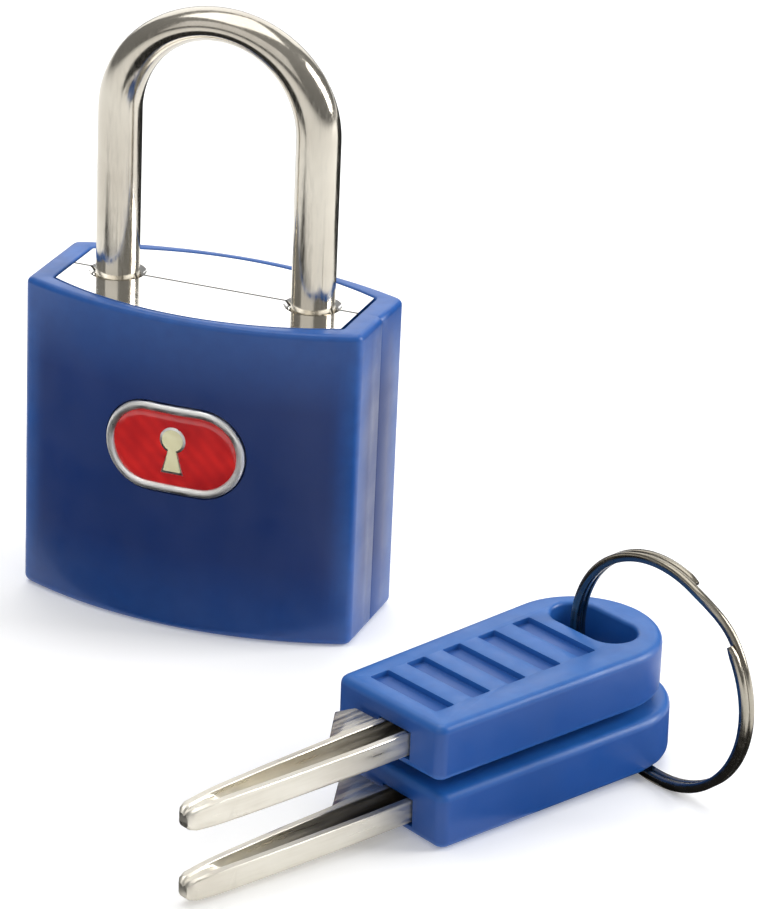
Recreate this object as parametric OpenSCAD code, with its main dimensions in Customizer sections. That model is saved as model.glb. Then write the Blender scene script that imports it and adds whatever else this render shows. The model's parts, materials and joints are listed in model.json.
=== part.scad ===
// Small keyed luggage padlock: a jacketed metal lock body with a solid steel
// shackle, and two folded-sheet keys on a split ring lying beside it.
// Origin: centre of the body's underside. +X right, -Y the badge side, +Z up.

/* [Lock body] */
// Width of the plastic jacket
body_w = 30; // [29:0.5:32]
// Height of the plastic jacket
body_h = 28; // [28:0.1:29]
// Thickness at the two side faces
side_t = 9.6; // [9.4:0.1:10.2]
// Thickness at the middle, where both faces bulge
mid_t = 16.1; // [15.8:0.1:17]
// Jacket wall at the sides
side_wall = 2.25; // [2:0.05:2.4]
// Jacket wall at the middle of each face
face_wall = 1.1; // [1:0.05:1.3]
// Jacket floor
floor_t = 1.2; // [1:0.1:1.3]
// Radius of the metal core's bulged faces
core_arc_r = 27; // [25:0.5:29]
// Height by which the jacket stands above the metal core
core_drop = 0.05; // [0:0.01:0.1]

/* [Shackle] */
// Radius of the round bar
bar_r = 1.85; // [1.8:0.01:1.88]
// Distance of each leg from the middle
leg_x = 8.8; // [8.7:0.05:8.9]
// Height of the arch's centre
arch_z = 41.9; // [40:0.1:50]
// Height of the short leg's end
toe_end_z = 20.6; // [20.4:0.1:20.7]
// Height of the long leg's end
heel_end_z = 10; // [9.8:0.1:10.2]
// How far the shackle rises when it is unlocked
lift = 8; // [8:0.1:8]

/* [Lock mechanism] */
// Radius of the turning plug
plug_r = 3.9; // [3.85:0.01:3.92]
// Radius of the sleeve round the plug
sleeve_r = 5; // [4.95:0.01:5]
// Top of the sleeve
sleeve_top = 20.6; // [20.6:0.1:20.6]
// Distance of the cam's drive pin from the plug's axis
cam_e = 2.6; // [2.6:0.1:2.6]
// Spacing of the wafers
wafer_pitch = 2.7; // [2.5:0.1:2.7]
// Lower face of the latch
latch_z = 23.4; // [23.4:0.1:23.4]
// Thickness of the latch
latch_t = 2; // [1.8:0.1:2]
// How deep the latch's nose reaches into the short leg's notch
nose_in = 0.6; // [0.4:0.05:0.6]

/* [Badge] */
// Length of the oval badge
badge_w = 12.4; // [10:0.2:13]
// Height of the oval badge
badge_h = 7.8; // [6:0.2:9]
// Centre of the badge from the middle of the body
badge_x = 0; // [-2:0.1:2]
// Centre of the badge above the underside
badge_z = 16.4; // [12:0.1:18]

/* [Keys] */
// Direction that the key heads point in
key_az = 63; // [60:1:65]
// Length of a key's plastic head
head_l = 27; // [26:0.5:28]
// Width of the head at its blade end
head_w = 11.9; // [11.5:0.1:12.5]
// Radius of the head's round end
head_r = 6.5; // [6.3:0.1:6.6]
// Thickness of the head
head_t = 4.7; // [4.6:0.1:4.8]
// Length of blade beyond the head
blade_l = 20.8; // [18:0.1:20.8]
// Height of the upper head's underside at its blade end
upper_z = 6.2; // [6:0.1:6.5]
// Upward tilt of the upper key's ring end
upper_tilt = 0.3; // [0:0.1:1]
// Upward tilt of the lower key's ring end
lower_tilt = 1.6; // [1.4:0.1:1.8]
// How far the lower key is pushed towards the ring
lower_shift = 0.9; // [0.5:0.1:0.9]
// How far the lower key is turned out from under the upper one
lower_turn = 2; // [0:0.1:2]

/* [Key ring] */
// Mean radius of the split ring
ring_r = 9.5; // [9.4:0.1:9.6]
// Thickness of the flat wire
ring_wire = 0.75; // [0.6:0.05:0.8]
// Width of the two turns side by side
ring_band = 1.15; // [1:0.05:1.2]

/* [Hidden] */

$fn = 96;
far = 60;                      // half size of cutting blocks
eps = 0.01;
fit = 0.05;                    // gap between pieces that are assembled tight
run = 0.08;                    // gap round pieces that slide or turn

function arc_radius(half_w, sag) = (half_w * half_w + sag * sag) / (2 * sag);
face_r = arc_radius(body_w / 2, (mid_t - side_t) / 2);
core_w = body_w - 2 * side_wall;
core_half_t = mid_t / 2 - face_wall;
core_z0 = floor_t + fit;
core_z1 = body_h - core_drop;
function core_y(x) = core_half_t - core_arc_r + sqrt(core_arc_r * core_arc_r - x * x);

leg_hole_r = bar_r + run;
mouth_r = 2.45;                // bright chamfer round each leg
mouth_t = 0.45;
latch_travel = 2 * cam_e * sin(45);
latch_nose_x = leg_x - bar_r + nose_in;
notch_floor_x = latch_nose_x + 0.12;
notch_z0 = latch_z - 1.5;
notch_z1 = latch_z + latch_t + 0.15;
collar_t = 1.6;                // full-width end of the long leg
neck_r = 1.25;                 // long leg where the stop pin runs
stop_r = 0.75;
stop_x = -leg_x + neck_r + stop_r + run;
stop_z = heel_end_z + collar_t + lift + stop_r + fit;
neck_z1 = stop_z + stop_r + 0.3;
seat_z = 2.3;

flange_r = 4.4;                // plug's front flange
flange_t = 1;
face_z = 0.2;                  // plug's face is sunk below the floor
plug_top = sleeve_top + run;
tail_r = 2.2;
tail_top = 22.6;
clip_z = plug_top + 0.1;
clip_t = 0.6;
cam_z = 21.6;
cam_t = 1;
cam_r = 4.3;
cam_pin_r = 0.8;
cam_pin_top = 25.2;
screw_r = 0.8;
screw_head_r = 1.1;
screw_head_t = 0.55;
slot_gap = 0.15;               // slack of the latch round the drive pin
latch_x0 = -0.1;
latch_x1 = 3.8;
latch_y0 = -2;
latch_y1 = 4.4;
nose_w = 3;
latch_spring_x0 = -6.2;

keyway_w = 3.6;
keyway_t = 2.6;
wafer_t = 1.2;
wafer_w = 5.7;
wafer_d = 4.6;
wafer_n = 6;
wafer_z0 = 3.4;
wafer_slack = 0.05;
wafer_play = 0.15;             // a wafer's travel each way
wafer_window_w = 4.1;
wafer_window_d = 2.8;
tab_x0 = 1.05;
tab_x1 = 1.5;
tab_y1 = 3.3;
wafer_spring_r = 0.42;
wafer_spring_y = 2.85;
wafer_spring_x0 = -1.1;

rivet_r = 0.6;
rivets = [[-11.8, 5], [-11.8, 23], [11.8, 23], [9, 5], [9, 14]];

badge_proud = 0.3;
badge_sunk = 0.7;
bezel_wall = 0.75;

key_x = 28.8;                  // middle of the upper head's blade end
key_y = -33.1;
slot_x = 22.2;
slot_y = 0.24;
slot_r = 2;
slot_l = 8.1;
pocket_n = 5;
pocket_x = 1.75;
pocket_pitch = 3.77;
pocket_w = 1.9;
pocket_y0 = -3.45;
pocket_y1 = 4.05;
pocket_t = 0.5;
sheet = 0.6;                   // folded steel sheet of the blade
blade_y = -0.8;
blade_w0 = 3.3;
blade_w1 = 1.8;
blade_h = 2.15;
blade_z = 0.85;
tang_l = 9;
lower_pivot = 5;
lower_z = 0.1 + lower_pivot * sin(lower_tilt);
ear_y = 4.1;
ring_x = 21.75;
ring_y = -7.66;
ring_turn = -1.6;
ring_lean = 3.4;
ring_z = (ring_r + ring_wire / 2) * cos(ring_lean) + ring_band / 2 * sin(ring_lean);
ring_gap = 0.25;               // room for the ring where it passes a head

// ---- outlines and helpers ----

module lens(w, half_t, r) {
    intersection() {
        square([w, far], center = true);
        translate([0, half_t - r]) circle(r, $fn = 360);
        translate([0, r - half_t]) circle(r, $fn = 360);
    }
}

module stadium(l, h) {
    square([l - h, h], center = true);
    for (s = [-1, 1]) translate([s * (l - h) / 2, 0]) circle(h / 2);
}

module front_half() {
    intersection() {
        children();
        translate([-far, -far, -far]) cube([2 * far, far, 2 * far]);
    }
}

module rear_half() {
    intersection() {
        children();
        translate([-far, 0, -far]) cube([2 * far, far, 2 * far]);
    }
}

module tube(r_out, r_in, z0, z1) {
    translate([0, 0, z0]) difference() {
        cylinder(r = r_out, h = z1 - z0);
        translate([0, 0, -eps]) cylinder(r = r_in, h = z1 - z0 + 2 * eps);
    }
}

// ---- jacket and core ----

module jacket() {
    difference() {
        linear_extrude(body_h) lens(body_w, mid_t / 2, face_r);
        translate([0, 0, floor_t]) linear_extrude(body_h)
            lens(core_w + 2 * fit, core_half_t + fit, core_arc_r + fit);
        translate([0, 0, -eps]) cylinder(r = sleeve_r + fit, h = floor_t + 2 * eps);
        badge_skin(badge_w + 2 * fit, badge_h + 2 * fit, badge_sunk, 1);
    }
}

module core_block() {
    difference() {
        translate([0, 0, core_z0]) linear_extrude(core_z1 - core_z0)
            lens(core_w, core_half_t, core_arc_r);
        // sleeve bore and cam chamber
        cylinder(r = sleeve_r + fit, h = latch_z - run);
        // long leg's bore and its mouth
        translate([-leg_x, 0, core_z0 + 0.25]) cylinder(r = leg_hole_r, h = body_h);
        translate([leg_x, 0, toe_end_z - 0.4]) cylinder(r = leg_hole_r, h = body_h);
        for (s = [-1, 1]) translate([s * leg_x, 0, core_z1 - mouth_t])
            cylinder(r1 = leg_hole_r, r2 = mouth_r, h = mouth_t + eps);
        // stop pin's seat
        translate([stop_x, 0, stop_z]) rotate([90, 0, 0])
            cylinder(r = stop_r + eps, h = 7, center = true);
        latch_pocket();
        for (p = rivets) rivet_at(p, rivet_r + eps, 1);
    }
}

module latch_pocket() {
    z0 = latch_z - 0.1;
    h = latch_t + 0.2;
    translate([latch_x0 - latch_travel - 0.15, latch_y0 - 0.1, z0])
        cube([latch_x1 - latch_x0 + latch_travel + 0.3, latch_y1 - latch_y0 + 0.2, h]);
    translate([latch_x1, -nose_w / 2 - 0.1, z0])
        cube([leg_x - latch_x1, nose_w + 0.2, h]);
    translate([latch_spring_x0, -1.1, z0]) cube([3, 2.2, h]);
}

module rivet_at(p, r, extra) {
    half = core_y(abs(p[0]) + rivet_r) - 0.05 + extra;
    translate([p[0], 0, p[1]]) rotate([90, 0, 0]) cylinder(r = r, h = 2 * half, center = true, $fn = 48);
}

module front_shell() { color([0.11, 0.28, 0.60]) front_half() jacket(); }
module rear_shell() { color([0.11, 0.28, 0.60]) rear_half() jacket(); }
module core_front() { color([0.93, 0.93, 0.91]) front_half() core_block(); }
module core_rear() { color([0.93, 0.93, 0.91]) rear_half() core_block(); }
module core_rivets() { color([0.7, 0.68, 0.62]) for (p = rivets) rivet_at(p, rivet_r, 0); }

// ---- badge, wrapped on the bulged front face ----

module badge_skin(l, h, sunk, proud) {
    intersection() {
        translate([badge_x, -mid_t / 2 + 3, badge_z]) rotate([90, 0, 0])
            linear_extrude(6) stadium(l, h);
        translate([0, face_r - mid_t / 2, 0]) difference() {
            cylinder(r = face_r + proud, h = body_h, $fn = 360);
            translate([0, 0, -eps]) cylinder(r = face_r - sunk, h = body_h + 1, $fn = 360);
        }
    }
}

module badge_bezel() {
    color([0.85, 0.84, 0.8]) difference() {
        badge_skin(badge_w, badge_h, badge_sunk - fit, badge_proud);
        badge_skin(badge_w - 2 * bezel_wall, badge_h - 2 * bezel_wall, 0.35, 2);
    }
}

module keyhole_outline(grow) {
    translate([0, 0.9]) circle(0.95 + grow, $fn = 48);
    polygon([[-0.8 - grow, -1.9 - grow], [0.8 + grow, -1.9 - grow], [0.35 + grow, 0.9], [-0.35 - grow, 0.9]]);
}

module keyhole_prism(grow) {
    translate([badge_x, -mid_t / 2 + 3, badge_z]) rotate([90, 0, 0])
        linear_extrude(6) keyhole_outline(grow);
}

module badge_enamel() {
    color([0.75, 0.08, 0.08]) difference() {
        badge_skin(badge_w - 2 * bezel_wall - 0.02, badge_h - 2 * bezel_wall - 0.02, 0.34, 0.12);
        keyhole_prism(0.01);
    }
}

module badge_keyhole() {
    color([0.86, 0.84, 0.6]) intersection() {
        badge_skin(badge_w - 2 * bezel_wall - 0.02, badge_h - 2 * bezel_wall - 0.02, 0.34, 0.16);
        keyhole_prism(0);
    }
}

// ---- plug, wafers and cam ----

module plug_sleeve() {
    color([0.85, 0.84, 0.8]) difference() {
        cylinder(r = sleeve_r, h = sleeve_top);
        translate([0, 0, -eps]) cylinder(r = plug_r + run, h = sleeve_top + 2 * eps);
        translate([0, 0, -eps]) cylinder(r = flange_r + run, h = face_z + flange_t + run);
    }
}

module plug() {
    color([0.78, 0.62, 0.32]) difference() {
        union() {
            translate([0, 0, face_z]) cylinder(r = flange_r, h = flange_t);
            translate([0, 0, face_z]) cylinder(r = plug_r, h = plug_top - face_z);
            translate([0, 0, plug_top - eps]) cylinder(r = tail_r, h = tail_top - plug_top);
        }
        translate([-keyway_w / 2, -keyway_t / 2, -eps]) cube([keyway_w, keyway_t, sleeve_top]);
        for (i = [0 : wafer_n - 1]) wafer_slot(wafer_z0 + i * wafer_pitch);
        translate([0, 0, cam_z - 0.6]) cylinder(r = screw_r + eps, h = 3);
        // flats that carry the cam
        for (s = [-1, 1]) translate([s * (1.75 + 2), 0, cam_z + 1]) cube([4, 8, 2], center = true);
    }
}

module wafer_slot(z) {
    translate([-plug_r - 1, -wafer_d / 2 - wafer_slack, z - wafer_t / 2 - wafer_slack])
        cube([2 * plug_r + 2, wafer_d + 2 * wafer_slack, wafer_t + 2 * wafer_slack]);
    translate([wafer_spring_x0 - wafer_slack, 0, z - wafer_t / 2 - wafer_slack])
        cube([tab_x1 + wafer_play + 0.1 - wafer_spring_x0, tab_y1 + 0.08, wafer_t + 2 * wafer_slack]);
}

module wafer(i) {
    z = wafer_z0 + (i - 1) * wafer_pitch - wafer_t / 2;
    color([0.80, 0.68, 0.40]) difference() {
        union() {
            translate([-wafer_w / 2, -wafer_d / 2, z]) cube([wafer_w, wafer_d, wafer_t]);
            translate([tab_x0, 0, z]) cube([tab_x1 - tab_x0, tab_y1, wafer_t]);
        }
        translate([-wafer_window_w / 2, -wafer_window_d / 2, z - 1])
            cube([wafer_window_w, wafer_window_d, wafer_t + 2]);
    }
}

module wafer_springs() {
    color([0.75, 0.75, 0.72]) for (i = [0 : wafer_n - 1])
        translate([wafer_spring_x0, wafer_spring_y, wafer_z0 + i * wafer_pitch])
            rotate([0, 90, 0]) cylinder(r = wafer_spring_r, h = tab_x0 - wafer_play - wafer_spring_x0 - fit);
}

module plug_clip() {
    color([0.6, 0.6, 0.58]) difference() {
        tube(flange_r + 0.2, tail_r + eps, clip_z, clip_z + clip_t);
        translate([-0.8, -far, clip_z - 1]) cube([1.6, far, 3]);
    }
}

module cam() {
    color([0.7, 0.7, 0.68]) difference() {
        union() {
            translate([0, 0, cam_z]) cylinder(r = cam_r, h = cam_t);
            rotate(45) translate([cam_e, 0, cam_z]) cylinder(r = cam_pin_r, h = cam_pin_top - cam_z, $fn = 48);
        }
        intersection() {
            translate([0, 0, cam_z - 1]) cylinder(r = tail_r + eps, h = cam_t + 1 + eps);
            cube([3.52, 8, 2 * far], center = true);
        }
    }
}

module cam_screw() {
    color([0.8, 0.8, 0.78]) difference() {
        union() {
            translate([0, 0, cam_z - 0.5]) cylinder(r = screw_r, h = tail_top - cam_z + 0.5, $fn = 48);
            translate([0, 0, tail_top]) cylinder(r = screw_head_r, h = screw_head_t, $fn = 48);
        }
        translate([-0.15, -2, tail_top + 0.3]) cube([0.3, 4, 1]);
    }
}

// ---- latch and shackle ----

module latch_bolt() {
    pin_x0 = cam_e * cos(45);
    reach = cam_pin_r + slot_gap;
    color([0.72, 0.72, 0.7]) translate([0, 0, latch_z]) difference() {
        union() {
            translate([latch_x0, latch_y0, 0]) cube([latch_x1 - latch_x0, latch_y1 - latch_y0, latch_t]);
            translate([latch_x1 - 1, -nose_w / 2, 0]) cube([latch_nose_x - latch_x1 + 1, nose_w, latch_t]);
        }
        translate([pin_x0 - reach, pin_x0 - reach, -1])
            cube([2 * reach, cam_e - pin_x0 + 2 * reach, latch_t + 2]);
    }
}

module latch_spring() {
    color([0.75, 0.75, 0.72]) translate([latch_spring_x0 + fit, 0, latch_z + latch_t / 2])
        rotate([0, 90, 0]) difference() {
            cylinder(r = 0.95, h = latch_x0 - latch_spring_x0 - 2 * fit, $fn = 48);
            translate([0, 0, -1]) cylinder(r = 0.6, h = 20, $fn = 48);
        }
}

module shackle() {
    color([0.84, 0.82, 0.78]) difference() {
        union() {
            translate([0, 0, arch_z]) rotate([90, 0, 0]) rotate_extrude(angle = 180)
                translate([leg_x, 0]) circle(bar_r);
            translate([leg_x, 0, toe_end_z]) cylinder(r = bar_r, h = arch_z - toe_end_z);
            translate([-leg_x, 0, neck_z1]) cylinder(r = bar_r, h = arch_z - neck_z1);
            translate([-leg_x, 0, heel_end_z]) cylinder(r = neck_r, h = neck_z1 - heel_end_z + 1);
            translate([-leg_x, 0, heel_end_z]) cylinder(r = bar_r, h = collar_t);
        }
        translate([notch_floor_x - 4, -4, notch_z0]) cube([4, 8, notch_z1 - notch_z0]);
    }
}

module shackle_spring() {
    color([0.75, 0.75, 0.72]) translate([-leg_x, 0, 0])
        tube(1.6, 1.1, seat_z + fit, heel_end_z - fit);
}

module spring_seat() {
    color([0.7, 0.68, 0.62]) translate([-leg_x, 0, 0])
        tube(leg_hole_r - eps, 0.6, core_z0 + 0.27, seat_z);
}

module heel_stop_pin() {
    color([0.7, 0.68, 0.62]) translate([stop_x, 0, stop_z]) rotate([90, 0, 0])
        cylinder(r = stop_r, h = 6.9, center = true, $fn = 48);
}

// ---- keys and ring ----

module at_keys() { translate([key_x, key_y, 0]) rotate(key_az) children(); }
module at_upper() { at_keys() translate([0, 0, upper_z]) rotate([0, -upper_tilt, 0]) children(); }
module at_lower() {
    at_keys() translate([lower_shift + lower_pivot, 0, lower_z])
        rotate([0, -lower_tilt, -lower_turn]) translate([-lower_pivot, 0, 0]) children();
}

module head_outline() {
    polygon([[0, -head_w / 2], [head_l - head_r, -head_r], [head_l - head_r, head_r], [0, head_w / 2]]);
    translate([head_l - head_r, 0]) circle(head_r);
}

module head_solid() {
    difference() {
        linear_extrude(head_t) head_outline();
        translate([slot_x, slot_y, -1]) linear_extrude(head_t + 2) rotate(90) stadium(slot_l, 2 * slot_r);
        for (z = [-1, head_t - pocket_t], i = [0 : pocket_n - 1])
            translate([pocket_x + i * pocket_pitch, pocket_y0, z])
                cube([pocket_w, pocket_y1 - pocket_y0, pocket_t + 1]);
        // seat of the blade's tang
        translate([-1, blade_y - blade_w0 / 2 - fit, blade_z - fit])
            cube([tang_l + 1 + fit, blade_w0 + 2 * fit, blade_h + 2 * fit]);
    }
}

module blade_solid() {
    translate([0, blade_y, blade_z]) difference() {
        union() {
            linear_extrude(blade_h) polygon([[tang_l, -blade_w0 / 2], [tang_l, blade_w0 / 2],
                [-4, blade_w0 / 2], [-blade_l + 0.7, blade_w1 / 2], [-blade_l, blade_w1 / 2 - 0.5],
                [-blade_l, -blade_w1 / 2 + 0.5], [-blade_l + 0.7, -blade_w1 / 2], [-4, -blade_w0 / 2]]);
            // ear that stops the key at the keyway
            translate([0, 0, blade_h - sheet]) linear_extrude(sheet)
                polygon([[-0.3, 1], [-0.3, ear_y], [-2, ear_y + 0.5], [-5.2, 1.5], [-5.2, 1]]);
        }
        translate([0, 0, sheet]) linear_extrude(blade_h)
            polygon([[-blade_l + sheet + 0.4, -blade_w1 / 2 + sheet], [-4, -blade_w0 / 2 + sheet],
                [tang_l + 1, -blade_w0 / 2 + sheet], [tang_l + 1, blade_w0 / 2 - sheet],
                [-4, blade_w0 / 2 - sheet], [-blade_l + sheet + 0.4, blade_w1 / 2 - sheet]]);
        // small cut along the near flange's lower edge
        translate([-blade_l + 1.8, -blade_w0, -1]) cube([2, blade_w0 * 0.75, 1.5]);
    }
}

module ring_place() {
    at_keys() translate([ring_x, ring_y, ring_z]) rotate([0, 90 - ring_lean, ring_turn]) children();
}

module ring_band_solid(gap) {
    ring_place() rotate_extrude($fn = 180)
        translate([ring_r - ring_wire / 2 - gap, -ring_band / 2 - gap])
            square([ring_wire + 2 * gap, ring_band + 2 * gap]);
}

module key_upper_head() {
    color([0.16, 0.38, 0.74]) difference() {
        at_upper() head_solid();
        ring_band_solid(ring_gap);
    }
}

module key_lower_head() {
    color([0.16, 0.38, 0.74]) difference() {
        at_lower() head_solid();
        ring_band_solid(ring_gap);
    }
}

module key_upper_blade() { color([0.86, 0.84, 0.8]) at_upper() blade_solid(); }
module key_lower_blade() { color([0.86, 0.84, 0.8]) at_lower() blade_solid(); }
module key_ring() { color([0.72, 0.70, 0.66]) ring_band_solid(0); }

front_shell();
rear_shell();
core_front();
core_rear();
core_rivets();
badge_bezel();
badge_enamel();
badge_keyhole();
plug_sleeve();
plug();
wafer(1);  // wafer_1
wafer(2);  // wafer_2
wafer(3);  // wafer_3
wafer(4);  // wafer_4
wafer(5);  // wafer_5
wafer(6);  // wafer_6
wafer_springs();
plug_clip();
cam();
cam_screw();
latch_bolt();
latch_spring();
shackle();
shackle_spring();
spring_seat();
heel_stop_pin();
key_upper_head();
key_upper_blade();
key_lower_head();
key_lower_blade();
key_ring();
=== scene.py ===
"""A small keyed luggage padlock with its two keys on a split ring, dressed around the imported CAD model.

Shapes are worked out in millimetres in the row frame and scaled to metres when a piece is finished.
"""

import json
import math

import bmesh
import bpy
from mathutils import Matrix, Vector


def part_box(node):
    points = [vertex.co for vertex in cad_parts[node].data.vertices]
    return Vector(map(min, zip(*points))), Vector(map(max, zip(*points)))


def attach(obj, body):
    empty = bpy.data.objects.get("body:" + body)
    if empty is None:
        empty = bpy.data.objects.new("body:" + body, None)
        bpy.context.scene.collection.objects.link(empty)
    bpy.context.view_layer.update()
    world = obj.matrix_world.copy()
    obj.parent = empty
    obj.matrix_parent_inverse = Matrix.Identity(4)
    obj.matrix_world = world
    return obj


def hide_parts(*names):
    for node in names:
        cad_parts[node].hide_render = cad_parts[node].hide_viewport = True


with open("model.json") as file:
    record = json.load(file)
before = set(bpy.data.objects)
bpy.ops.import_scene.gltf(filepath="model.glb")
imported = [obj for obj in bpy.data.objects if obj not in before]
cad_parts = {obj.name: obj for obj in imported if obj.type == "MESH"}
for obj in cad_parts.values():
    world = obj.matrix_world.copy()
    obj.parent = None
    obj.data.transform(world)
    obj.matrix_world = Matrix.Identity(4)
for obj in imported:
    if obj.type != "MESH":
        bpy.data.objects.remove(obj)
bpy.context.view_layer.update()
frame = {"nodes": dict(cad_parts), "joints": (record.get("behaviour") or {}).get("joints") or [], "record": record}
scene = bpy.context.scene
MM = 0.001
KEY_AZIMUTH = math.radians(63)


def span(node):
    """A CAD node's lowest and highest corner, in millimetres."""
    low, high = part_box(node)
    return low / MM, high / MM


# ---- camera: the photograph's viewing angle, aimed beside the lock's foot ----

CAM_AZIMUTH = math.radians(19.886)
CAM_ELEVATION = math.radians(23.518)
CAM_ROLL = math.radians(-2.507)
CAM_DISTANCE = 369.4
CAM_LENS = 170.8
AIM_RIGHT = 15.03
AIM_UP = 11.75


def make_camera():
    back = Vector((math.sin(CAM_AZIMUTH) * math.cos(CAM_ELEVATION),
                   -math.cos(CAM_AZIMUTH) * math.cos(CAM_ELEVATION),
                   math.sin(CAM_ELEVATION)))
    level = Vector((0, 0, 1)).cross(back).normalized()
    upright = back.cross(level)
    right = level * math.cos(CAM_ROLL) - upright * math.sin(CAM_ROLL)
    up = upright * math.cos(CAM_ROLL) + level * math.sin(CAM_ROLL)
    low, high = span("front_shell")
    foot = Vector(((low.x + high.x) / 2, 0, low.z))
    place = foot + right * AIM_RIGHT + up * AIM_UP + back * CAM_DISTANCE
    data = bpy.data.cameras.new("camera")
    data.lens = CAM_LENS
    data.clip_start = 0.01
    camera = bpy.data.objects.new("camera", data)
    camera.matrix_world = Matrix.Translation(place * MM) @ Matrix((right, up, back)).transposed().to_4x4()
    scene.collection.objects.link(camera)
    scene.camera = camera


make_camera()

# ---- materials ----


def shader(name, color, roughness, metallic=0.0, **sockets):
    material = bpy.data.materials.new(name)
    material.use_nodes = True
    bsdf = material.node_tree.nodes["Principled BSDF"]
    bsdf.inputs["Base Color"].default_value = (*color, 1)
    bsdf.inputs["Roughness"].default_value = roughness
    bsdf.inputs["Metallic"].default_value = metallic
    for socket, value in sockets.items():
        bsdf.inputs[socket.replace("_", " ")].default_value = value
    return material, material.node_tree, bsdf


def coords(tree, scale=(1, 1, 1), turn=0.0):
    source = tree.nodes.new("ShaderNodeTexCoord")
    mapping = tree.nodes.new("ShaderNodeMapping")
    mapping.vector_type = "TEXTURE"
    mapping.inputs["Scale"].default_value = [1 / s for s in scale]
    mapping.inputs["Rotation"].default_value = (0, 0, turn)
    tree.links.new(source.outputs["Object"], mapping.inputs["Vector"])
    return mapping.outputs["Vector"]


def noise(tree, scale, detail=3.0, stretch=(1, 1, 1), turn=0.0):
    node = tree.nodes.new("ShaderNodeTexNoise")
    node.inputs["Scale"].default_value = scale
    node.inputs["Detail"].default_value = detail
    tree.links.new(coords(tree, stretch, turn), node.inputs["Vector"])
    return node.outputs["Fac"]


def remap(tree, value, low, high, from_low=0.3, from_high=0.7):
    node = tree.nodes.new("ShaderNodeMapRange")
    node.inputs["From Min"].default_value = from_low
    node.inputs["From Max"].default_value = from_high
    node.inputs["To Min"].default_value = low
    node.inputs["To Max"].default_value = high
    tree.links.new(value, node.inputs["Value"])
    return node.outputs["Result"]


def combine(tree, factor, first, second):
    node = tree.nodes.new("ShaderNodeMix")
    node.data_type = "RGBA"
    for socket, value in ((node.inputs[0], factor), (node.inputs[6], first), (node.inputs[7], second)):
        if isinstance(value, (tuple, float)):
            socket.default_value = (*value, 1) if isinstance(value, tuple) else value
        else:
            tree.links.new(value, socket)
    return node.outputs[2]


def attribute(tree, name):
    node = tree.nodes.new("ShaderNodeAttribute")
    node.attribute_name = name
    return node.outputs["Fac"]


def bump(tree, bsdf, height, strength, depth_mm):
    node = tree.nodes.new("ShaderNodeBump")
    node.inputs["Strength"].default_value = strength
    node.inputs["Distance"].default_value = depth_mm * MM
    tree.links.new(height, node.inputs["Height"])
    tree.links.new(node.outputs["Normal"], bsdf.inputs["Normal"])


def moulded_plastic(name, deep, bright, edge, roughness):
    """Semi-gloss moulding: cloudy body colour, a painted highlight paler along the edges, a fine satin grain."""
    material, tree, bsdf = shader(name, deep, roughness)
    body = combine(tree, remap(tree, noise(tree, 90), 0.0, 1.0), deep, bright)
    # Painted highlight: the per-vertex mask lifts the colour towards the pale third colour, broken up by fine
    # noise.
    highlight_breakup = remap(tree, noise(tree, 900), 0.75, 1.0)
    scale = tree.nodes.new("ShaderNodeMath")
    scale.operation = "MULTIPLY"
    tree.links.new(attribute(tree, "edge"), scale.inputs[0])
    tree.links.new(highlight_breakup, scale.inputs[1])
    tree.links.new(combine(tree, scale.outputs[0], body, edge), bsdf.inputs["Base Color"])
    satin = remap(tree, noise(tree, 350), roughness * 0.85, roughness * 1.2)
    tree.links.new(satin, bsdf.inputs["Roughness"])
    bump(tree, bsdf, noise(tree, 5200, 2), 0.12, 0.02)
    return material


def polished_metal(name, dark, light, roughness, stretch=(1, 1, 1), scratch=0.1, grain=700, turn=0.0):
    """Bright plating: slight tint changes, and fine drawn scratches along one direction."""
    material, tree, bsdf = shader(name, light, roughness, 1.0)
    tint = combine(tree, remap(tree, noise(tree, 140), 0.0, 1.0), dark, light)
    tree.links.new(tint, bsdf.inputs["Base Color"])
    lines = noise(tree, grain, 4, stretch, turn)
    tree.links.new(remap(tree, lines, roughness * 0.6, roughness * 1.6), bsdf.inputs["Roughness"])
    bump(tree, bsdf, lines, scratch, 0.02)
    return material


def darken(material, amount, color):
    """Mixes a dark color over a material's tint by the amount."""
    tree = material.node_tree
    base = tree.nodes["Principled BSDF"].inputs["Base Color"]
    tree.links.new(combine(tree, amount, base.links[0].from_socket, color), base)


def core_plating():
    """Mirror plating, dark along the parting line where the two castings meet."""
    material = polished_metal("core_plating", (0.84, 0.83, 0.80), (0.93, 0.92, 0.90), 0.1, (1, 6, 1), 0.03)
    tree = material.node_tree
    split = tree.nodes.new("ShaderNodeSeparateXYZ")
    tree.links.new(coords(tree), split.inputs["Vector"])
    away = tree.nodes.new("ShaderNodeMath")
    away.operation = "ABSOLUTE"
    tree.links.new(split.outputs["Y"], away.inputs[0])
    seam = remap(tree, away.outputs[0], 1.0, 0.0, 0.00013, 0.00017)
    darken(material, seam, (0.05, 0.045, 0.04))
    return material


def blade_plating():
    """Satin plating, with painted shade darkening it down in the channel of the folded blade."""
    material = polished_metal("blade_nickel", (0.64, 0.60, 0.52), (0.75, 0.72, 0.64), 0.40,
                              (0.3, 4, 4), 0.01, turn=KEY_AZIMUTH)
    tree = material.node_tree
    # Painted shade: the channel mask mixes the tint towards a dark brown.
    darken(material, remap(tree, attribute(tree, "edge"), 0.0, 0.85, 0.0, 1.0), (0.12, 0.10, 0.08))
    return material


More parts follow.
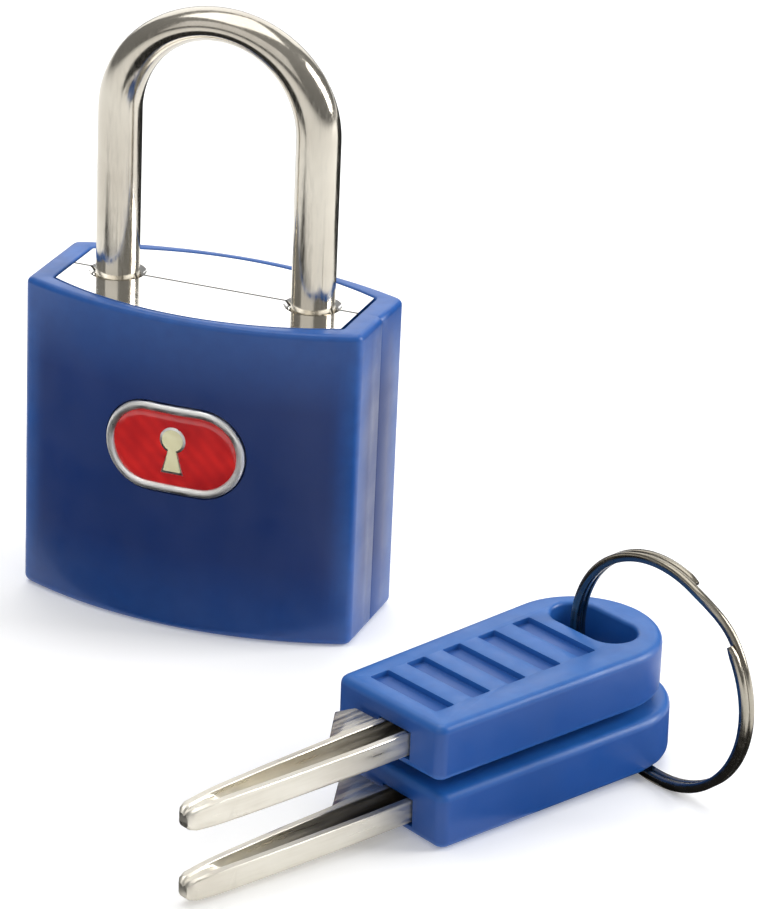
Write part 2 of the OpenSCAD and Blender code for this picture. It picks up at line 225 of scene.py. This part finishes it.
def enamel(name, dark, light):
    """Glossy enamel over a pressed ground, whose fine rays show through."""
    material, tree, bsdf = shader(name, light, 0.16, Coat_Weight=0.6, Coat_Roughness=0.05)
    wave = tree.nodes.new("ShaderNodeTexWave")
    wave.wave_type = "BANDS"
    wave.bands_direction = "DIAGONAL"
    wave.inputs["Scale"].default_value = 420
    wave.inputs["Distortion"].default_value = 0.4
    tree.links.new(coords(tree), wave.inputs["Vector"])
    shade = combine(tree, remap(tree, noise(tree, 260), 0.0, 1.0), dark, light)
    rays = remap(tree, wave.outputs["Fac"], 0.0, 0.35, 0.0, 1.0)
    tree.links.new(combine(tree, rays, shade, dark), bsdf.inputs["Base Color"])
    bump(tree, bsdf, wave.outputs["Fac"], 0.15, 0.03)
    return material


MATERIALS = {
    # The third colour of each blue moulding is the colour of its painted highlight.
    "blue_jacket": moulded_plastic("jacket_blue", (0.002, 0.025, 0.142), (0.004, 0.031, 0.170),
                                   (0.014, 0.115, 0.430), 0.34),
    "blue_key_head": moulded_plastic("key_head_blue", (0.003, 0.056, 0.272), (0.005, 0.066, 0.312),
                                     (0.026, 0.160, 0.500), 0.38),
    "plated_core": core_plating(),
    "badge_metal": polished_metal("badge_silver", (0.90, 0.89, 0.86), (0.97, 0.96, 0.94), 0.38,
                                  scratch=0.05),
    "red_enamel": enamel("badge_red", (0.42, 0.006, 0.010), (0.80, 0.020, 0.018)),
    "cream_enamel": enamel("badge_cream", (0.74, 0.70, 0.42), (0.86, 0.82, 0.54)),
    "brass_plug": polished_metal("plug_brass", (0.62, 0.44, 0.18), (0.76, 0.57, 0.27), 0.25,
                                 (1, 1, 5), 0.2),
    "brass_wafer": polished_metal("wafer_brass", (0.60, 0.46, 0.22), (0.74, 0.60, 0.32), 0.3,
                                  (6, 1, 1), 0.2),
    "spring_steel": polished_metal("spring_steel", (0.50, 0.49, 0.47), (0.66, 0.65, 0.62), 0.25,
                                   scratch=0.15),
    "steel": polished_metal("zinc_steel", (0.52, 0.52, 0.50), (0.68, 0.68, 0.65), 0.3, (6, 1, 1), 0.2),
    "nickel_shackle": polished_metal("shackle_nickel", (0.47, 0.43, 0.365), (0.60, 0.565, 0.49), 0.15,
                                     (7, 7, 1), 0.05),
    "nickel_blade": blade_plating(),
    "ring_wire": polished_metal("ring_steel", (0.23, 0.205, 0.16), (0.40, 0.37, 0.31), 0.2,
                                scratch=0.08),
}

# ---- mesh helpers ----


class Shape:
    """Vertices and faces gathered loop by loop."""

    def __init__(self):
        self.points = []
        self.faces = []

    def loop(self, points):
        start = len(self.points)
        self.points += [tuple(p) for p in points]
        return list(range(start, start + len(points)))

    def bridge(self, a, b, closed=True):
        count = len(a) if closed else len(a) - 1
        for i in range(count):
            j = (i + 1) % len(a)
            self.faces.append((a[i], a[j], b[j], b[i]))

    def cap(self, loop):
        self.faces.append(tuple(loop))

    def tube(self, rings, closed=False):
        """Skins closed rings one after the other, with caps unless the path closes on itself."""
        loops = [self.loop(r) for r in rings]
        for a, b in zip(loops, loops[1:]):
            self.bridge(a, b)
        if closed:
            self.bridge(loops[-1], loops[0])
        else:
            self.cap(loops[0])
            self.cap(loops[-1])

    def object(self, name):
        mesh = bpy.data.meshes.new(name)
        mesh.from_pydata(self.points, [], self.faces)
        work = bmesh.new()
        work.from_mesh(mesh)
        bmesh.ops.recalc_face_normals(work, faces=work.faces)
        work.to_mesh(mesh)
        work.free()
        obj = bpy.data.objects.new(name, mesh)
        scene.collection.objects.link(obj)
        return obj


def bake(obj):
    """Applies an object's modifiers to its mesh."""
    bpy.context.view_layer.update()
    graph = bpy.context.evaluated_depsgraph_get()
    mesh = bpy.data.meshes.new_from_object(obj.evaluated_get(graph))
    obj.modifiers.clear()
    obj.data = mesh


def cut(obj, cutter, operation="DIFFERENCE"):
    modifier = obj.modifiers.new("cut", "BOOLEAN")
    modifier.operation = operation
    modifier.solver = "EXACT"
    modifier.object = cutter
    bake(obj)
    bpy.data.objects.remove(cutter)


def round_edges(obj, width, degrees=40, segments=2):
    modifier = obj.modifiers.new("round", "BEVEL")
    modifier.width = width
    modifier.segments = segments
    modifier.limit_method = "ANGLE"
    modifier.angle_limit = math.radians(degrees)
    bake(obj)


def finish_piece(obj, body, slot, *nodes, edge=None, sharp=38):
    """Scales a piece to metres, shades it, and says what it rides on and replaces."""
    work = bmesh.new()
    work.from_mesh(obj.data)
    bmesh.ops.remove_doubles(work, verts=work.verts, dist=0.0005)
    bmesh.ops.dissolve_degenerate(work, edges=work.edges, dist=0.0005)
    # Per-vertex mask of painted light and shade, which the materials read.
    layer = work.verts.layers.float.new("edge")
    for vert in work.verts:
        vert[layer] = edge(vert.co) if edge else 0.0
    for face in work.faces:
        face.smooth = True
    for e in work.edges:
        e.smooth = not (len(e.link_faces) == 2 and e.calc_face_angle(0) > math.radians(sharp))
    bmesh.ops.scale(work, vec=(MM, MM, MM), verts=work.verts)
    work.to_mesh(obj.data)
    work.free()
    obj.data.materials.clear()
    obj.data.materials.append(MATERIALS[slot])
    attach(obj, body)
    if nodes:
        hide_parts(*nodes)
    return obj


def arc(center, radius, start, end, steps):
    """Points round an arc in the XY plane, ends included; angles in radians."""
    return [(center[0] + radius * math.cos(start + (end - start) * i / steps),
             center[1] + radius * math.sin(start + (end - start) * i / steps)) for i in range(steps + 1)]


# ---- jacket: two moulded halves, parted at mid-thickness ----

SHELL_LOW, SHELL_HIGH = span("front_shell")
CORE_LOW, CORE_HIGH = span("core_front")
BODY_W = SHELL_HIGH.x - SHELL_LOW.x
BODY_H = SHELL_HIGH.z
HALF_T = span("rear_shell")[1].y
SIDE_HALF_T = 4.8
CORE_HALF_W = CORE_HIGH.x
CORE_HALF_T = -CORE_LOW.y
CORE_R = 27.0
FLOOR_T = 1.2
HOLE_R = 5.05


def arc_radius(half_width, sag):
    return (half_width ** 2 + sag ** 2) / (2 * sag)


FACE_R = arc_radius(BODY_W / 2, HALF_T - SIDE_HALF_T)


def lens_half(half_w, half_t, radius, corner, groove=0.0):
    """Front half of a lens outline, from the left parting line round the front to the right one."""
    rise = radius - half_t
    reach = radius - corner
    cx = half_w - corner
    cy = rise - math.sqrt(reach ** 2 - cx ** 2)
    lean = math.asin(cx / reach)
    right = [(radius * math.sin(lean * i / 30), rise - radius * math.cos(lean * i / 30)) for i in range(31)]
    right += arc((cx, cy), corner, lean - math.pi / 2, 0, 8)[1:]
    lip = 0.14
    right += [(half_w, (cy - lip) / 2), (half_w, -lip), (half_w - groove, 0.0)]
    return [(-x, y) for x, y in reversed(right[1:])] + right


def jacket_half(name, side):
    """side is 1 for the front half and -1 for the rear one."""
    top_r, foot_r, inner_r, corner = 0.55, 0.75, 0.22, 0.75
    steps = 6
    levels = []

    def outer(inset, z):
        levels.append([(x, y, z) for x, y in lens_half(BODY_W / 2 - inset, HALF_T - inset, FACE_R - inset,
                                                        corner - inset * 0.7, 0.1)])

    def inner(grow, z):
        levels.append([(x, y, z) for x, y in lens_half(CORE_HALF_W + 0.2 + grow, CORE_HALF_T + 0.17 + grow,
                                                        CORE_R + 0.07 + grow, 0.35 + grow)])

    for i in range(steps + 1):
        a = math.pi / 2 * i / steps
        outer(foot_r * (1 - math.sin(a)), foot_r * (1 - math.cos(a)))
    for z in (BODY_H * 0.25, BODY_H * 0.5, BODY_H * 0.75):
        outer(0, z)
    for i in range(steps + 1):
        a = math.pi / 2 * i / steps
        outer(top_r * (1 - math.cos(a)), BODY_H - top_r * (1 - math.sin(a)))
    for i in range(4):
        a = math.pi / 2 * i / 3
        inner(inner_r * (1 - math.sin(a)), BODY_H - inner_r * (1 - math.cos(a)))
    inner(0, BODY_H * 0.5)
    inner(0, FLOOR_T)
    count = len(levels[0])
    for radius, z in ((HOLE_R, FLOOR_T), (HOLE_R, 0.25), (HOLE_R + 0.25, 0.0)):
        levels.append([(radius * math.cos(math.pi + math.pi * i / (count - 1)),
                        radius * math.sin(math.pi + math.pi * i / (count - 1)), z) for i in range(count)])
    shape = Shape()
    loops = [shape.loop([(x, side * y, z) for x, y, z in level]) for level in levels]
    for a, b in zip(loops, loops[1:] + loops[:1]):
        shape.bridge(a, b, closed=False)
    shape.cap([loop[0] for loop in loops])
    shape.cap([loop[-1] for loop in loops])
    return shape.object(name)


def jacket_edge(co):
    """Mask of the painted highlight: 1 on the jacket's edges, falling to 0 on its faces."""
    near_top = max(0.0, 1 - (BODY_H - co.z) / 1.1)
    near_foot = max(0.0, 1 - co.z / 1.4) * 0.8
    near_corner = max(0.0, 1 - math.hypot(BODY_W / 2 - abs(co.x), SIDE_HALF_T - abs(co.y)) / 2.2)
    return min(1.0, max(near_top, near_foot, near_corner * 0.8))


# ---- badge, wrapped on the front face ----

BEZEL_LOW, BEZEL_HIGH = span("badge_bezel")
BADGE_X = (BEZEL_LOW.x + BEZEL_HIGH.x) / 2
BADGE_Z = (BEZEL_LOW.z + BEZEL_HIGH.z) / 2
BADGE_W = BEZEL_HIGH.x - BEZEL_LOW.x
BADGE_H = BEZEL_HIGH.z - BEZEL_LOW.z
BEZEL_WALL = 0.72


def on_face(x, z, height):
    """The point at that height over the bulged front face, x to the side of its middle."""
    turn = math.asin((BADGE_X + x) / FACE_R)
    reach = FACE_R + height
    return (reach * math.sin(turn), FACE_R - HALF_T - reach * math.cos(turn), BADGE_Z + z)


def stadium(width, height, steps=24):
    r = height / 2
    reach = width / 2 - r
    right = arc((reach, 0), r, -math.pi / 2, math.pi / 2, steps)
    left = arc((-reach, 0), r, math.pi / 2, 3 * math.pi / 2, steps)
    straight = [(reach * (1 - 2 * i / 6), r) for i in range(1, 6)]
    under = [(-reach * (1 - 2 * i / 6), -r) for i in range(1, 6)]
    return right + straight + left + under


def badge_loop(inset, height):
    return [on_face(x, z, height) for x, z in stadium(BADGE_W - 2 * inset, BADGE_H - 2 * inset)]


def badge_pocket():
    shape = Shape()
    shape.tube([badge_loop(-0.14, -0.45), badge_loop(-0.14, 1.5)])
    return shape.object("badge_pocket")


def make_bezel():
    shape = Shape()
    profile = [(0.0, -0.42), (0.0, 0.08), (0.05, 0.2), (0.17, 0.28), (0.34, 0.3), (0.52, 0.27),
               (0.66, 0.18), (BEZEL_WALL, 0.06), (BEZEL_WALL, -0.42)]
    shape.tube([badge_loop(inset, height) for inset, height in profile], closed=True)
    finish_piece(shape.object("badge_border"), "casing", "badge_metal", "badge_bezel", sharp=60)


def make_enamel():
    shape = Shape()
    wall = BEZEL_WALL - 0.02
    rings = [(wall, -0.4), (wall, 0.03), (wall + 0.08, 0.07)]
    rings += [(wall + 0.08 + 0.6 * i, 0.07 + 0.09 * math.sin(math.pi / 2 * i / 4)) for i in range(1, 5)]
    shape.tube([badge_loop(inset, height) for inset, height in rings])
    finish_piece(shape.object("badge_enamel_field"), "casing", "red_enamel", "badge_enamel", sharp=70)


def keyhole(grow):
    """Outline of a keyhole: a round eye over a flared skirt."""
    eye = 0.95 + grow
    eye_z = 0.9
    notch = math.radians(22)
    ring = arc((0, eye_z), eye, -math.pi / 2 + notch, 3 * math.pi / 2 - notch, 28)
    return ring + [(-0.8 - grow, -1.9 - grow), (0.8 + grow, -1.9 - grow)]


def make_keyhole():
    for name, slot, grow, top, nodes in (("keyhole_border", "badge_metal", 0.2, 0.22, ()),
                                         ("keyhole_symbol", "cream_enamel", 0.0, 0.26, ("badge_keyhole",))):
        shape = Shape()
        levels = [(grow, 0.0), (grow, top - 0.05), (grow - 0.05, top)]
        shape.tube([[on_face(x, z, h) for x, z in keyhole(g)] for g, h in levels])
        finish_piece(shape.object(name), "casing", slot, *nodes, sharp=60)


def make_jacket():
    front = jacket_half("jacket_front", 1)
    cut(front, badge_pocket())
    finish_piece(front, "casing", "blue_jacket", "front_shell", edge=jacket_edge, sharp=50)
    rear = jacket_half("jacket_rear", -1)
    finish_piece(rear, "casing", "blue_jacket", "rear_shell", edge=jacket_edge, sharp=50)


# ---- shackle ----

SHACKLE_LOW, SHACKLE_HIGH = span("shackle")
BAR_R = SHACKLE_HIGH.y
LEG_X = SHACKLE_HIGH.x - BAR_R
HEEL_END = SHACKLE_LOW.z
ARCH_Z = 42.3
ARCH_RISE = 8.54
ARCH_FLAT = 0.27
TOE_END = 20.6
NECK_R = 1.25
NECK = (HEEL_END + 1.6, 21.45)
NOTCH = (21.9, 25.55)
NOTCH_X = 7.67


def bar_ring(center, outward, radial, across, keep_x=None):
    ring = []
    for i in range(40):
        a = 2 * math.pi * i / 40
        p = center + outward * (radial * math.cos(a)) + Vector((0, across * math.sin(a), 0))
        if keep_x is not None and p.x < keep_x:
            p.x = keep_x
        ring.append(p)
    return ring


def make_shackle():
    rings = []
    heel = [(HEEL_END, BAR_R - 0.3), (HEEL_END + 0.3, BAR_R), (NECK[0] - 0.02, BAR_R), (NECK[0], NECK_R),
            (NECK[1] - 0.3, NECK_R), (NECK[1], BAR_R), (30, BAR_R), (36, BAR_R)]
    rings += [bar_ring(Vector((-LEG_X, 0, z)), Vector((-1, 0, 0)), r, r) for z, r in heel]
    steps = 72
    for i in range(steps + 1):
        a = math.pi * (1 - i / steps)
        center = Vector((LEG_X * math.cos(a), 0, ARCH_Z + ARCH_RISE * math.sin(a)))
        outward = Vector((math.cos(a) / LEG_X, 0, math.sin(a) / ARCH_RISE)).normalized()
        rings.append(bar_ring(center, outward, BAR_R * (1 - ARCH_FLAT * math.sin(a) ** 2), BAR_R))
    toe = [(36, BAR_R, None), (30, BAR_R, None), (NOTCH[1] + 0.01, BAR_R, None), (NOTCH[1], BAR_R, NOTCH_X),
           (NOTCH[0], BAR_R, NOTCH_X), (NOTCH[0] - 0.01, BAR_R, None), (TOE_END + 0.5, BAR_R, None),
           (TOE_END, BAR_R - 0.5, None)]
    rings += [bar_ring(Vector((LEG_X, 0, z)), Vector((1, 0, 0)), r, r, keep) for z, r, keep in toe]
    shape = Shape()
    shape.tube(rings)
    finish_piece(shape.object("shackle_bar"), "shackle", "nickel_shackle", "shackle")


# ---- keys ----

KEY_ORIGIN = Vector((28.8, -33.1, 0))
HEAD_L = 27.0
HEAD_W = 11.9
HEAD_R = 6.5
HEAD_T = 4.7
UPPER_Z = 6.2
UPPER_TILT = math.radians(0.3)
LOWER_TILT = math.radians(1.6)
LOWER_TURN = math.radians(2)
LOWER_SHIFT = 0.9
LOWER_PIVOT = 5.0
LOWER_Z = 0.1 + LOWER_PIVOT * math.sin(LOWER_TILT)
BLADE_HALF = 1.65
CHANNEL_END = -16.5
BLADE_Y = -0.8
BLADE_Z = 0.85
BLADE_H = 2.15
SHEET = 0.6
RING_GAP = 0.25

AT_KEYS = Matrix.Translation(KEY_ORIGIN) @ Matrix.Rotation(KEY_AZIMUTH, 4, "Z")
AT_UPPER = AT_KEYS @ Matrix.Translation((0, 0, UPPER_Z)) @ Matrix.Rotation(-UPPER_TILT, 4, "Y")
AT_LOWER = (AT_KEYS @ Matrix.Translation((LOWER_SHIFT + LOWER_PIVOT, 0, LOWER_Z))
            @ Matrix.Rotation(-LOWER_TURN, 4, "Z") @ Matrix.Rotation(-LOWER_TILT, 4, "Y")
            @ Matrix.Translation((-LOWER_PIVOT, 0, 0)))

ring_joint = next(j for j in frame["joints"] if j["name"] == "ring_turn")
RING_CENTER = Vector(ring_joint["pos_m"]) / MM
RING_AXIS = Vector(ring_joint["axis"]).normalized()
AT_RING = Matrix.Translation(RING_CENTER) @ RING_AXIS.to_track_quat("Z", "Y").to_matrix().to_4x4()
RING_R = 9.5
RING_WIRE = 0.75
RING_BAND = 1.15
RING_JOG = 128.0


def hull_outline(circles, inset, steps):
    """Outline round a convex, anticlockwise row of circles, moved inwards by inset."""
    normals = []
    for (a, ra), (b, rb) in zip(circles, circles[1:] + circles[:1]):
        across = Vector(b) - Vector(a)
        lean = math.acos(max(-1, min(1, (ra - rb) / across.length)))
        normals.append(math.atan2(across.y, across.x) - lean)
    points = []
    for i, ((center, radius), count) in enumerate(zip(circles, steps)):
        start, end = normals[i - 1], normals[i]
        while end < start:
            end += 2 * math.pi
        points += arc(center, radius - inset, start, end, count)
    return points


HEAD_CORNER = 0.9
HEAD_CIRCLES = [((HEAD_CORNER, -HEAD_W / 2 + HEAD_CORNER), HEAD_CORNER), ((HEAD_L - HEAD_R, 0), HEAD_R),
                ((HEAD_CORNER, HEAD_W / 2 - HEAD_CORNER), HEAD_CORNER)]


def slab(name):
    """The head's moulding, with generously rounded edges."""
    rounding = 0.7
    shape = Shape()
    rings = []
    for i in range(6):
        a = math.pi / 2 * i / 5
        rings.append((rounding * (1 - math.sin(a)), rounding * (1 - math.cos(a))))
    rings += [(inset, HEAD_T - z) for inset, z in reversed(rings)]
    shape.tube([[(x, y, z) for x, y in hull_outline(HEAD_CIRCLES, inset, (6, 40, 6))]
                for inset, z in rings])
    return shape.object(name)


def prism(name, outline, z0, z1):
    shape = Shape()
    shape.tube([[(x, y, z) for x, y in outline] for z in (z0, z1)])
    return shape.object(name)


def ring_cutter(place):
    """The path that the ring needs through a head, in the head's own frame."""
    shape = Shape()
    half_w, half_h = RING_WIRE / 2 + RING_GAP, RING_BAND / 2 + RING_GAP
    rings = []
    for i in range(96):
        a = 2 * math.pi * i / 96
        rings.append([((RING_R + dr) * math.cos(a), (RING_R + dr) * math.sin(a), dz)
                      for dr, dz in ((-half_w, -half_h), (half_w, -half_h),
                                     (half_w, half_h), (-half_w, half_h))])
    shape.tube(rings, closed=True)
    obj = shape.object("ring_path")
    obj.data.transform(place.inverted() @ AT_RING)
    return obj


def key_head(name, place, body, node):
    head = slab(name)
    slot_x, slot_y, slot_l, slot_r = 22.2, 0.24, 8.1, 2.0
    outline = [(slot_x - y, slot_y + x) for x, y in stadium(slot_l, 2 * slot_r)]
    cut(head, prism("slot", outline, -1, HEAD_T + 1))
    round_edges(head, 0.35, 60, 4)
    cut(head, ring_cutter(place))
    pocket_x, pitch, width, y0, y1, depth = 1.75, 3.77, 1.9, -3.45, 4.05, 0.5
    for z0, z1 in ((-1, depth), (HEAD_T - depth, HEAD_T + 1)):
        for i in range(5):
            x = pocket_x + i * pitch
            corners = [((x + 0.15, y0 + 0.15), 0.15), ((x + width - 0.15, y0 + 0.15), 0.15),
                       ((x + width - 0.15, y1 - 0.15), 0.15), ((x + 0.15, y1 - 0.15), 0.15)]
            cut(head, prism("pocket", hull_outline(corners, 0, (3, 3, 3, 3)), z0, z1))
    seat_half = BLADE_HALF + 0.12
    seat_end = 9.1
    cut(head, prism("blade_seat", [(-1, BLADE_Y - seat_half), (seat_end, BLADE_Y - seat_half),
                                   (seat_end, BLADE_Y + seat_half), (-1, BLADE_Y + seat_half)],
                    BLADE_Z - 0.1, BLADE_Z + BLADE_H + 0.1))
    round_edges(head, 0.09, 55, 2)

    head.data.transform(place)
    own_frame = place.inverted()

    # Painted highlight: lighter on and near the head's top and bottom faces.
    def edge(co):
        z = (own_frame @ co).z
        return 0.75 * max(0.0, 1 - min(z, HEAD_T - z) / 0.8)

    finish_piece(head, body, "blue_key_head", node, sharp=45, edge=edge)


def blade_section(half, floor, low, high):
    """A U section open upwards, in the blade's own YZ plane."""
    bend = min(0.55, half * 0.6)
    t = min(SHEET, half * 0.72)
    outer_near = [(-half + 0.06, high), (-half, high - 0.06)]
    near_bend = [(-half + bend - bend * math.cos(a), low + bend - bend * math.sin(a))
                 for a in (math.pi / 2 * i / 5 for i in range(6))]
    far_bend = [(-y, z) for y, z in reversed(near_bend)]
    outer_far = [(half, high - 0.06), (half - 0.06, high)]
    inner_far = [(half - t + 0.05, high), (half - t, high - 0.05), (half - t, floor + 0.12),
                 (half - t - 0.1, floor)]
    inner_near = [(-y, z) for y, z in reversed(inner_far)]
    return outer_near + near_bend + far_bend + outer_far + inner_far + inner_near


def key_blade(name, place, body, node, channel_shade):
    """The last argument says how dark the painted shade in the channel gets at the head's end."""
    top = BLADE_H
    stations = [(8.8, BLADE_HALF, SHEET, 0, top), (-4.0, 1.62, SHEET, 0, top), (-12.0, 1.38, SHEET, 0, top),
                (-15.5, 1.22, SHEET, 0, top), (-16.6, 1.16, 1.1, 0, top),
                (-17.6, 1.10, top - 0.35, 0, top - 0.02),
                (-18.6, 1.04, top - 0.25, 0.02, top - 0.08), (-20.0, 0.92, top - 0.35, 0.1, top - 0.18),
                (-20.55, 0.75, top - 0.55, 0.28, top - 0.38), (-20.8, 0.5, top - 0.8, 0.5, top - 0.62)]
    shape = Shape()
    shape.tube([[(x, y, z) for y, z in blade_section(half, floor, low, high)]
                for x, half, floor, low, high in stations])
    blade = shape.object(name)
    ear = prism("ear", [(-0.3, 1.25), (-0.3, 4.1), (-2.0, 4.6), (-5.2, 1.6), (-5.2, 1.25)],
                top - SHEET, top - 0.02)
    round_edges(ear, 0.12, 30, 2)
    cut(blade, ear, "UNION")
    notch = prism("notch", arc((-17.0, -1.5), 0.42, 0, 2 * math.pi, 16)[:-1], -0.5, 0.75)
    cut(blade, notch)
    stand = place @ Matrix.Translation((0, BLADE_Y, BLADE_Z))
    blade.data.transform(stand)
    own_frame = stand.inverted()

    # Painted shade: darkens the channel's floor and inner walls, most at the bottom and near the head, fading
    # towards the tip.
    def shade(co):
        at = own_frame @ co
        inside = abs(at.y) < BLADE_HALF - SHEET + 0.02 and at.z > SHEET - 0.05 and at.x > CHANNEL_END
        fade = max(0.35, min(1.0, 1 + (at.x + 3) / 14))
        return channel_shade * fade * max(0.0, 1 - (at.z - SHEET) / (top - SHEET)) if inside else 0.0

    finish_piece(blade, body, "nickel_blade", node, sharp=42, edge=shade)


def make_keys():
    key_head("upper_key_head", AT_UPPER, "upper_key", "key_upper_head")
    key_blade("upper_key_blade", AT_UPPER, "upper_key", "key_upper_blade", 0.25)
    key_head("lower_key_head", AT_LOWER, "lower_key", "key_lower_head")
    key_blade("lower_key_blade", AT_LOWER, "lower_key", "key_lower_blade", 1.0)


def make_ring():
    """A split ring: two turns of flat wire side by side, stepping over at one place."""
    jog_at = math.radians(RING_JOG)
    jog, clear = math.radians(30), math.radians(17)
    half_r, half_w, soft = RING_WIRE / 2, RING_BAND / 4 - 0.01, 0.09
    section = [(-half_r, -half_w + soft), (-half_r + soft, -half_w),
               (half_r - soft, -half_w), (half_r, -half_w + soft),
               (half_r, half_w - soft), (half_r - soft, half_w),
               (-half_r + soft, half_w), (-half_r, half_w - soft)]
    start, end = clear, 4 * math.pi - clear
    steps = 260
    rings = []
    for i in range(steps + 1):
        a = start + (end - start) * i / steps
        share = max(0.0, min(1.0, (a - 2 * math.pi + jog / 2) / jog))
        side = (share * share * (3 - 2 * share) - 0.5) * RING_BAND / 2
        taper = min(1.0, 0.35 + min(a - start, end - a) * 9)
        turn = a + jog_at
        rings.append([((RING_R + dr * taper) * math.cos(turn), (RING_R + dr * taper) * math.sin(turn),
                       side + dz) for dr, dz in section])
    shape = Shape()
    shape.tube(rings)
    ring = shape.object("split_ring")
    ring.data.transform(AT_RING)
    finish_piece(ring, "key_ring", "ring_wire", "key_ring", sharp=50)


# ---- springs, hidden in the body ----


def coil(shape, start, along, radius, wire, length, turns):
    """Adds one helical spring to a shape."""
    side = Vector((0, 1, 0))
    other = along.cross(side)
    steps = turns * 16
    rings = []
    for i in range(steps + 1):
        a = 2 * math.pi * turns * i / steps
        out = side * math.cos(a) + other * math.sin(a)
        center = start + out * radius + along * (wire + (length - 2 * wire) * i / steps)
        rings.append([center + out * (wire * math.cos(b)) + along * (wire * math.sin(b))
                      for b in (2 * math.pi * k / 8 for k in range(8))])
    shape.tube(rings)


def make_springs():
    up, across = Vector((0, 0, 1)), Vector((1, 0, 0))
    for name, node, body, direction, wire, turns in (
            ("shackle_spring_coil", "shackle_spring", "casing", up, 0.25, 9),
            ("latch_spring_coil", "latch_spring", "casing", across, 0.17, 9)):
        low, high = span(node)
        middle = (low + high) / 2
        size = high - low
        shape = Shape()
        begin = middle - direction * size.dot(direction) / 2
        coil(shape, begin, direction, size.y / 2 - wire, wire, size.dot(direction), turns)
        finish_piece(shape.object(name), body, "spring_steel", node, sharp=80)
    low, high = span("wafer_springs")
    shape = Shape()
    radius = (high.y - low.y) / 2
    for i in range(6):
        z = low.z + radius + (high.z - low.z - 2 * radius) * i / 5
        begin = Vector((low.x, (low.y + high.y) / 2, z))
        coil(shape, begin, across, radius - 0.09, 0.09, high.x - low.x, 6)
    finish_piece(shape.object("wafer_spring_coils"), "plug", "spring_steel", "wafer_springs", sharp=80)


# ---- CAD nodes that stay ----


def dress_cad_nodes():
    slots = {s["node"]: s["material_slot"] for s in frame["record"]["subparts"]}
    for name, obj in frame["nodes"].items():
        obj.data.materials.clear()
        obj.data.materials.append(MATERIALS[slots[name]])
        weld = obj.modifiers.new("weld", "WELD")
        weld.merge_threshold = 1e-7
        flat = obj.modifiers.new("flat", "DECIMATE")
        flat.decimate_type = "DISSOLVE"
        flat.angle_limit = math.radians(0.5)
        bevel = obj.modifiers.new("round", "BEVEL")
        bevel.width = 0.00012 if name.startswith("core") else 0.0001
        bevel.segments = 2
        bevel.limit_method = "ANGLE"
        bevel.angle_limit = math.radians(60)


# ---- stage and light ----


def white_stage():
    mesh = bpy.data.meshes.new("floor")
    reach = 3.0
    corners = [(-reach, -reach, 0), (reach, -reach, 0), (reach, reach, 0), (-reach, reach, 0)]
    mesh.from_pydata(corners, [], [(0, 1, 2, 3)])
    floor = bpy.data.objects.new("floor", mesh)
    scene.collection.objects.link(floor)
    mesh.materials.append(shader("floor_white", (0.93, 0.93, 0.93), 0.8, Emission_Color=(1, 1, 1, 1),
                                 Emission_Strength=0.18)[0])


def softbox(name, place, size, power):
    """A soft rectangular light aimed at the lock."""
    data = bpy.data.lights.new(name, "AREA")
    data.shape = "RECTANGLE"
    data.size, data.size_y = size
    data.energy = power
    light = bpy.data.objects.new(name, data)
    light.location = place
    light.rotation_euler = (Vector((0, 0, 0.02)) - Vector(place)).to_track_quat("-Z", "Y").to_euler()
    scene.collection.objects.link(light)


def card(name, place, size, shade, target=(0, 0, 0.03)):
    """A dark card that only reflections see, for the polished metal and the jacket to mirror."""
    mesh = bpy.data.meshes.new(name)
    w, h = size[0] / 2, size[1] / 2
    mesh.from_pydata([(-w, -h, 0), (w, -h, 0), (w, h, 0), (-w, h, 0)], [], [(0, 1, 2, 3)])
    obj = bpy.data.objects.new(name, mesh)
    obj.location = place
    obj.rotation_euler = (Vector(target) - Vector(place)).to_track_quat("Z", "Y").to_euler()
    scene.collection.objects.link(obj)
    mesh.materials.append(shader(name, (shade, shade, shade), 0.9)[0])
    obj.visible_camera = False
    obj.visible_diffuse = False
    obj.visible_shadow = False


def light_scene():
    world = bpy.data.worlds.new("studio")
    world.use_nodes = True
    tree = world.node_tree
    source = tree.nodes.new("ShaderNodeTexCoord")
    split = tree.nodes.new("ShaderNodeSeparateXYZ")
    tree.links.new(source.outputs["Generated"], split.inputs["Vector"])
    level = remap(tree, split.outputs["Z"], 0.22, 0.38, 0.0, 0.9)
    tree.nodes["Background"].inputs["Color"].default_value = (1, 1, 1, 1)
    tree.links.new(level, tree.nodes["Background"].inputs["Strength"])
    scene.world = world
    softbox("top_box", (-0.10, 0.10, 0.70), (0.7, 0.6), 2.95)
    softbox("right_box", (0.55, 0.25, 0.30), (0.25, 0.4), 3.1)
    softbox("front_box", (-0.10, -0.60, 0.42), (0.9, 0.5), 1.0)
    softbox("back_box", (-0.17, 0.47, 0.26), (0.7, 0.36), 1.1)
    card("card_back", (0.01, 0.075, 0.018), (0.15, 0.036), 0.015)
    card("card_floor", (-0.028, -0.043, 0.0002), (0.092, 0.070), 0.01, (-0.028, -0.043, 1))
    card("card_keys", (0.052, -0.018, 0.0002), (0.026, 0.034), 0.01, (0.052, -0.018, 1))
    scene.view_settings.view_transform = "Standard"


make_jacket()
make_bezel()
make_enamel()
make_keyhole()
make_shackle()
make_keys()
make_ring()
make_springs()
dress_cad_nodes()
white_stage()
light_scene()
